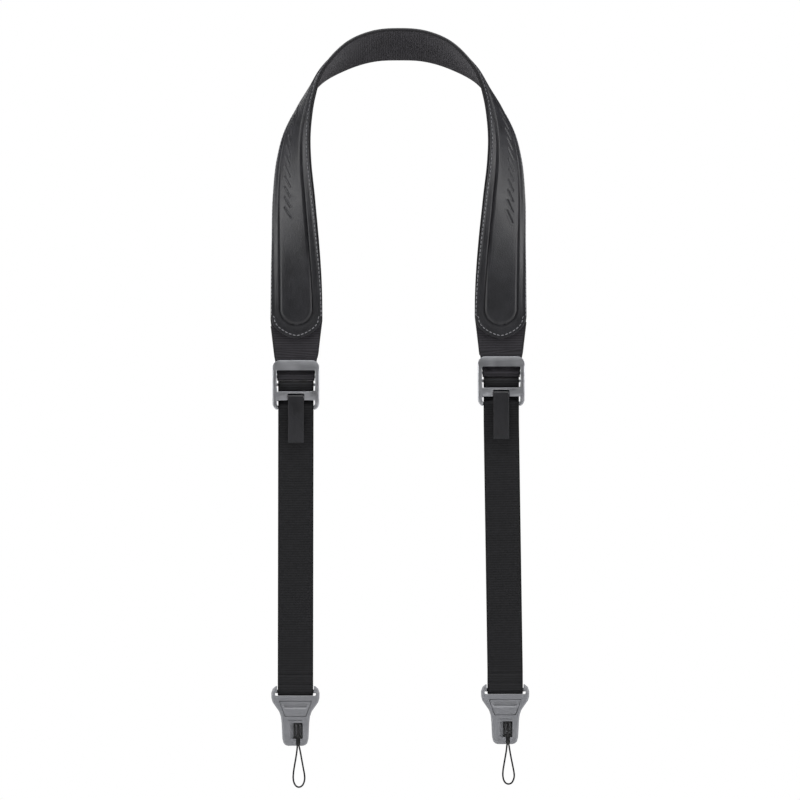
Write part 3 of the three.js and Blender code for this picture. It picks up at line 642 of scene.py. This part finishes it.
def rounded_copy(node, name, radius, angle=32, segments=3):
    """A copy of a CAD piece with its hard edges worked round."""
    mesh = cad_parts[node].data.copy()
    whole = bmesh.new()
    whole.from_mesh(mesh)
    bmesh.ops.remove_doubles(whole, verts=whole.verts, dist=1e-6)
    bmesh.ops.dissolve_limit(whole, angle_limit=math.radians(0.5), verts=whole.verts, edges=whole.edges)
    whole.to_mesh(mesh)
    whole.free()
    mesh.name = name
    shaped = bpy.data.objects.new(name + "_shape", mesh)
    bpy.context.scene.collection.objects.link(shaped)
    edge = shaped.modifiers.new("edge", "BEVEL")
    edge.width = radius * MM
    edge.segments = segments
    edge.limit_method = "ANGLE"
    edge.angle_limit = math.radians(angle)
    edge.use_clamp_overlap = False
    edge.miter_outer = "MITER_ARC"
    graph = bpy.context.evaluated_depsgraph_get()
    final = bpy.data.meshes.new_from_object(shaped.evaluated_get(graph))
    bpy.data.objects.remove(shaped)
    final.name = name
    return finish_mesh(name, final, sharp=40)


def blasted_aluminium():
    # Aluminium, bead-blasted and anodised grey: an even satin with a very fine pitted grain, about
    # 0.3 mm, and handling marks that change its gloss in patches.
    material, tree, surface = new_material("anodised_aluminium", Metallic=1.0, Roughness=0.42)
    fine = grain(tree, 0.3 * MM, 3)
    patches = grain(tree, 7 * MM, 3)
    tree.links.new(blend_colours(tree, patches, "a2a3a7", "b4b5b9"), surface.inputs["Base Color"])
    tree.links.new(ramp(tree, patches, 0.3, 0.7, 0.38, 0.5), surface.inputs["Roughness"])
    raise_surface(tree, surface, fine, 0.03 * MM)
    return material


aluminium_finish = blasted_aluminium()
for name, side in SIDES:
    node = "buckle_frame_" + name
    carry(rounded_copy(node, "milled_" + node, 0.22), "strap", "aluminium", aluminium_finish, node)

# ------------------------------------------------------------------ pull tabs
# A narrow strip of the same leather, looped round the small pin in the crossbar's notch and closed
# on itself, hanging down over the webbing: pulling it tilts the buckle and frees the webbing.
for name, side in SIDES:
    node = "pull_tab_" + name
    carry(rounded_copy(node, "leather_" + node, 0.3), "strap", "leather", leather_finish, node)

# ------------------------------------------------------------------ narrow webbing
# Black 25 mm nylon webbing, doubled: it loops over the buckle's lower pin, passes behind the crossbar
# and out over the bottom bar, runs down to the end fitting's bar, and comes back up behind.
STRAP_HALF, STRAP_THICK = 12.4, 1.2
STRAP_PIN, BOTTOM_BAR = (17.1, 4.0, 1.0), (32.9, 3.4, 1.3)
FITTING_MIDDLE, FITTING_THICK = 3.3, 6.5
FITTING_BAR = (3.8, 1.3)  # down from the ears' tops, radius
STRAP_FRONT = 2.55
STRAP_BACK = STRAP_FRONT + STRAP_THICK + GAP
SETTLE, SPREAD = 46, 14  # down from the buckle's top, and up from the fitting's bar, where layers part
SEAM_UP, FOLD_UP, SEAM_DEPTH = 11.5, 4.7, 0.5  # up from the fitting's bar, and how deep they are drawn in


def narrow_line(name, side):
    """The closed loop's places, starting behind the lower pin."""
    across, top = BUCKLES[name]
    foot_across, foot_top = FITTINGS[name]
    reach = GAP + STRAP_THICK / 2
    foot_bar = (foot_top - top + FITTING_BAR[0], FITTING_MIDDLE, FITTING_BAR[1])
    foot = foot_bar[0] - SPREAD
    view = round_pin(STRAP_PIN, STRAP_PIN[2] + reach + SNUG, 0, 206)
    view += [(22.4, 3.5), (27.7, 3.5)]
    view += round_pin(BOTTOM_BAR, BOTTOM_BAR[2] + reach, 152.7, 186, 8)
    view += [(SETTLE, STRAP_FRONT), (foot, STRAP_FRONT)]
    view += round_pin(foot_bar, foot_bar[2] + reach + SNUG, 174, 366)
    view += [(foot, STRAP_BACK), (SETTLE, STRAP_BACK)]
    view += [(BOTTOM_BAR[0] + 1.2, BOTTOM_BAR[1] + BOTTOM_BAR[2] + reach + 0.05)]
    view += [(STRAP_PIN[0], STRAP_PIN[1] + STRAP_PIN[2] + reach)]
    view = np.array(view)
    share = smooth_step(view[:, 0], BOTTOM_BAR[0], foot_bar[0])
    x = side * (across + (foot_across - across) * share)
    places = np.stack([x, BUCKLE_FRONT + view[:, 1], -top - view[:, 0]], axis=1)
    return places, top + foot_bar[0]


narrow_finish = woven_nylon("ribbed_nylon_black", "070708", "212124", "0a0a0b", STRAP_HALF)
for name, side in SIDES:
    places, bar_down = narrow_line(name, side)
    even, _, _ = even_line(places, np.zeros((len(places), 1)), RIB_PITCH / RIB_STEPS)
    even = even[:-1]
    towards_front = even[:, 1] < BUCKLE_FRONT + FITTING_MIDDLE
    up = bar_down + even[:, 2]
    seam = np.exp(-((up - SEAM_UP) / 0.6) ** 2) + 0.7 * np.exp(-((up - FOLD_UP) / 0.5) ** 2)
    press = np.where(towards_front, SEAM_DEPTH * seam, 0)
    piece, loop_run = ribbed_webbing(
        "narrow_webbing_cloth_" + name, even, level(len(even), 1), np.full(len(even), STRAP_HALF),
        STRAP_THICK, closed=True, press=press)
    carry(piece, "strap", "narrow_webbing", narrow_finish, "narrow_webbing_" + name)

# ------------------------------------------------------------------ end fittings
# A satin grey moulding round each webbing's end: ears beside the bar, a waist that narrows to a
# round foot, a pocket for the button, and a window that shows the black anchor.


def satin_moulding():
    # Glass-filled nylon, moulded in grey with a spark-eroded texture about 0.35 mm: satin, with soft
    # bright edges where the mould was polished.
    material, tree, surface = new_material("satin_grey_moulding", Roughness=0.45)
    fine = grain(tree, 0.35 * MM, 3)
    patches = grain(tree, 8 * MM, 3)
    tree.links.new(blend_colours(tree, patches, "6f7074", "808185"), surface.inputs["Base Color"])
    tree.links.new(ramp(tree, patches, 0.3, 0.7, 0.4, 0.52), surface.inputs["Roughness"])
    raise_surface(tree, surface, fine, 0.03 * MM)
    return material


moulding_finish = satin_moulding()
for name, side in SIDES:
    node = "end_fitting_" + name
    carry(rounded_copy(node, "moulded_" + node, 0.22), "strap", "grey_fitting", moulding_finish, node)

# ------------------------------------------------------------------ release buttons
# A separate trapezoid of the same moulding, with a dished face for a fingertip. A spring holds it
# level with the fitting's face, and pressing it in frees the cord's anchor.
BUTTON_TOP, BUTTON_BOTTOM, BUTTON_TOP_HALF, BUTTON_BOTTOM_HALF = 10.9, 21.3, 11.2, 7.1
BUTTON_THICK, DISH = 1.9, 1.15
FITTING_FACE = BUCKLE_FRONT + FITTING_MIDDLE - FITTING_THICK / 2


def button(name, side):
    """The button's solid as rings from its top edge down, its face dished."""
    across, top = FITTINGS[name]
    rows = np.concatenate([[0, 0.012, 0.035], np.linspace(0.07, 0.93, 26), [0.965, 0.988, 1]])
    shares = np.concatenate([[-1, -0.985, -0.96], np.linspace(-0.92, 0.92, 31), [0.96, 0.985, 1]])
    rings = []
    for v in rows:
        half = BUTTON_TOP_HALF + (BUTTON_BOTTOM_HALF - BUTTON_TOP_HALF) * v
        down = BUTTON_TOP + (BUTTON_BOTTOM - BUTTON_TOP) * v
        end = min(v, 1 - v) * (BUTTON_BOTTOM - BUTTON_TOP)
        half -= 0.5 * math.exp(-(end / 0.35) ** 2)
        x = shares * half
        edge = np.minimum(half - np.abs(x), end)
        bowl = smooth_step(v, 0.08, 0.34) * (1 - smooth_step(v, 0.36, 0.52 + 0 * x))
        curve = 1 - (x / half) ** 2
        depth = DISH * bowl * smooth_step(curve, 0.0, 0.55)
        rim = 0.22 * np.exp(-edge / 0.16)
        front = np.stack([x, depth + rim, np.full(len(x), -down)], axis=1)
        back = np.stack([x[::-1], np.full(len(x), BUTTON_THICK), np.full(len(x), -down)], axis=1)
        rings.append(np.concatenate([front, back]) + [side * across, FITTING_FACE, -top])
    around = np.zeros(2 * len(shares) + 1)
    return skin("dished_release_button_" + name, rings, np.append(rows, 1), around)


for name, side in SIDES:
    carry(button(name, side), "button_" + name, "grey_fitting", moulding_finish, "release_button_" + name)

# ------------------------------------------------------------------ cord anchors
# A small black moulding in the fitting's window: a frame with a middle post that grips the cord, and
# a neck that runs over the foot, where both ends of the cord come out.


def black_moulding():
    # Acetal, moulded black and satin: fine texture about 0.3 mm, a dull gleam on its rounded edges.
    material, tree, surface = new_material("satin_black_acetal", Roughness=0.45)
    fine = grain(tree, 0.3 * MM, 3)
    tree.links.new(blend_colours(tree, fine, "060607", "0f0f10"), surface.inputs["Base Color"])
    raise_surface(tree, surface, fine, 0.03 * MM)
    return material


ANCHOR_LEFT, ANCHOR_RIGHT, ANCHOR_MIDDLE = -1.0, 4.8, 1.9  # across from the fitting's middle
ANCHOR_TOP, ANCHOR_BOTTOM = 26.2, 36.7  # down from the ears' tops
ANCHOR_FRONT, ANCHOR_BACK = 0.7, 2.5  # back from the fitting's face
ANCHOR_WALL, ANCHOR_POST, NECK_HALF, NECK_END = 0.9, 0.7, 1.15, 42.4


def round_bar(x0, x1, down0, down1, front, back, radius=0.25):
    """A bar with softened edges, as vertices and faces, in the fitting's own measures."""
    bar = bmesh.new()
    bmesh.ops.create_cube(bar, size=1)
    for vertex in bar.verts:
        vertex.co.x = x0 if vertex.co.x < 0 else x1
        vertex.co.y = front if vertex.co.y < 0 else back
        vertex.co.z = -down1 if vertex.co.z < 0 else -down0
    bmesh.ops.bevel(bar, geom=bar.edges, offset=radius, segments=3, profile=0.5, affect="EDGES")
    corners = [tuple(vertex.co) for vertex in bar.verts]
    faces = [[vertex.index for vertex in face.verts] for face in bar.faces]
    bar.free()
    return corners, faces


def cord_anchor(name, side):
    """Two rails, a head, a foot, the grip post and the neck, joined in one mesh."""
    across, top = FITTINGS[name]
    left, right, middle_x = ANCHOR_LEFT, ANCHOR_RIGHT, ANCHOR_MIDDLE
    front, back = ANCHOR_FRONT, ANCHOR_BACK
    bars = [
        (left, left + ANCHOR_WALL, ANCHOR_TOP, ANCHOR_BOTTOM, front, back),
        (right - ANCHOR_WALL, right, ANCHOR_TOP, ANCHOR_BOTTOM, front, back),
        (left, right, ANCHOR_TOP, ANCHOR_TOP + ANCHOR_WALL, front, back),
        (left, right, ANCHOR_BOTTOM - ANCHOR_WALL, ANCHOR_BOTTOM, front, back),
        (middle_x - ANCHOR_POST, middle_x + ANCHOR_POST, ANCHOR_TOP, ANCHOR_BOTTOM, front + 0.2, back),
        (middle_x - NECK_HALF, middle_x + NECK_HALF, ANCHOR_BOTTOM - 0.5, NECK_END, front, back),
    ]
    vertices, faces = [], []
    for measures in bars:
        corners, sides = round_bar(*measures)
        faces += [[len(vertices) + i for i in face] for face in sides]
        vertices += corners
    mesh = bpy.data.meshes.new("black_cord_anchor_" + name)
    places = np.array(vertices) + [side * across, FITTING_FACE, -top]
    mesh.from_pydata((places * MM).tolist(), [], faces)
    return finish_mesh("black_cord_anchor_" + name, mesh)


black_finish = black_moulding()
for name, side in SIDES:
    carry(cord_anchor(name, side), "strap", "black_plastic", black_finish, "cord_anchor_" + name)

# ------------------------------------------------------------------ studio
# A pale round floor well below the cords, white all round it, and soft boxes above and to both sides
# that draw a broad shine down the outer edges of the padding while the fronts stay dark.
FLOOR, FLOOR_RADIUS = box_low[2] - 60 * MM, 2.1


def round_floor():
    ring = [(FLOOR_RADIUS * math.cos(a), FLOOR_RADIUS * math.sin(a), FLOOR)
            for a in np.linspace(0, 2 * math.pi, 97)[:-1]]
    mesh = bpy.data.meshes.new("pale_floor")
    mesh.from_pydata(ring, [], [list(range(len(ring)))])
    floor = finish_mesh("pale_floor", mesh)
    material, tree, surface = new_material("pale_paper", Roughness=0.9)
    surface.inputs["Base Color"].default_value = linear("f4f4f4")
    surface.inputs["Emission Color"].default_value = linear("ffffff")
    surface.inputs["Emission Strength"].default_value = 0.04
    floor.data.materials.append(material)
    return floor


def soft_box(name, place, aim_at, size, watts):
    light = bpy.data.lights.new(name, "AREA")
    light.shape = "RECTANGLE"
    light.size, light.size_y = size
    light.energy = watts
    lamp = bpy.data.objects.new(name, light)
    lamp.location = place
    lamp.rotation_euler = (Vector(aim_at) - Vector(place)).to_track_quat("-Z", "Y").to_euler()
    bpy.context.scene.collection.objects.link(lamp)


round_floor()
centre = (0, 0, aim[2])
soft_box("soft_box_left", (-1.5, -0.42, 0.35), centre, (0.5, 1.5), 24)
soft_box("soft_box_right", (1.5, -0.42, 0.35), centre, (0.5, 1.5), 24)
soft_box("soft_box_above", (0, -0.6, 1.6), centre, (1.4, 0.5), 26)
soft_box("soft_box_front", (0.4, -3.0, 0.5), centre, (1.2, 1.2), 1.3)
soft_box("soft_box_behind", (-0.3, 2.2, 0.9), centre, (1.6, 1.2), 15)

# The studio's walls are dim to the object, and plain white behind it.
world = bpy.data.worlds.new("studio")
world.use_nodes = True
sky = world.node_tree
walls = sky.nodes["Background"]
walls.inputs["Color"].default_value = linear("ffffff")
walls.inputs["Strength"].default_value = 0.03
white = add_node(sky, "ShaderNodeBackground", {"Color": linear("ffffff"), "Strength": 1.0})
seen = add_node(sky, "ShaderNodeLightPath").outputs["Is Camera Ray"]
both = add_node(sky, "ShaderNodeMixShader", links={0: seen, 1: walls.outputs[0], 2: white.outputs[0]})
sky.links.new(both.outputs[0], sky.nodes["World Output"].inputs["Surface"])
bpy.context.scene.world = world
bpy.context.scene.view_settings.view_transform = "Standard"
